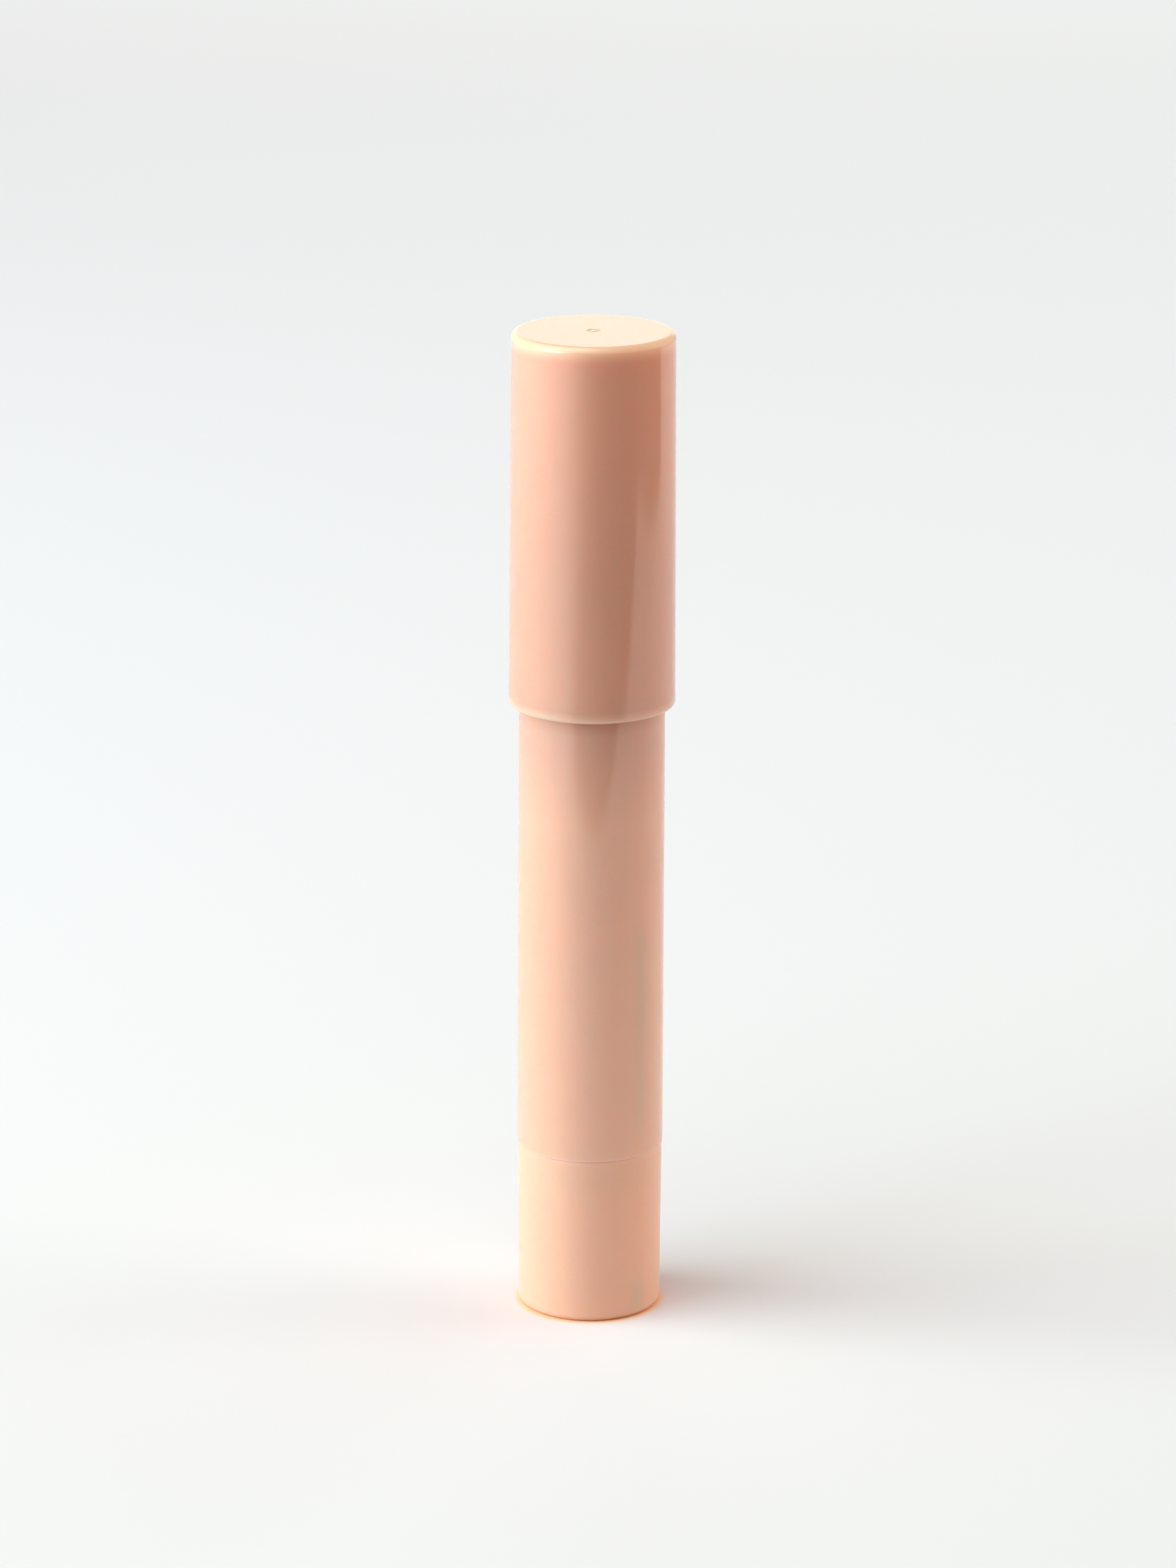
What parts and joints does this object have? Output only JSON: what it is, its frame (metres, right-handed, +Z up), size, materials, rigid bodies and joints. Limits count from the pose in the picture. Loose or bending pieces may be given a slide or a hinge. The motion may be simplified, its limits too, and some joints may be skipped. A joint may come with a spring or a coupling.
{
  "type": "lip balm stick",
  "caption": "Capped twist-up tinted lip balm: a slim round barrel with a turning base that drives a screw and raises the balm, under a glossy pull-off cap.",
  "frame": {"origin": "centre of the foot, on the surface that the stick stands on", "axes": "+Z up along the stick from the foot to the cap's crown"},
  "size_m": [0.0162, 0.0162, 0.0985],
  "materials": {
    "peach_gloss": "high gloss moulded plastic",
    "peach_satin": "satin moulded plastic",
    "peach_neck": "semi-gloss moulded plastic",
    "natural_white": "undyed moulded plastic",
    "natural_clear": "undyed translucent moulded plastic",
    "ring_rubber": "matt rubber",
    "balm_wax": "soft sheen tinted wax"
  },
  "bodies": {
    "barrel": {"barrel_sleeve": "peach_gloss", "neck_collar": "peach_neck", "guide_sleeve": "natural_clear", "drag_ring": "ring_rubber"},
    "twist": {"base_knob": "peach_satin", "drive_insert": "natural_white", "lead_screw": "natural_white", "seal_ring": "ring_rubber"},
    "carrier": {"pusher_nut": "natural_white", "balm_cup": "natural_white", "balm_stick": "balm_wax"},
    "cap": {"cap_shell": "peach_gloss", "cap_liner": "natural_white"}
  },
  "joints": [
    {"name": "base_twist", "type": "hinge", "parent": "barrel", "child": "twist", "pos_m": [0, 0, 0], "axis": [0, 0, 1], "range_deg": [0, 1440]},
    {"name": "balm_rise", "type": "slide", "parent": "barrel", "child": "carrier", "axis": [0, 0, 1], "range_m": [0, 0.024]},
    {"name": "cap_lift", "type": "slide", "parent": "barrel", "child": "cap", "axis": [0, 0, 1], "range_m": [0, 0.06]}
  ],
  "couplings": [
    {"joint": "base_twist", "follows": "balm_rise", "rad_per_m": 1047.2}
  ]
}
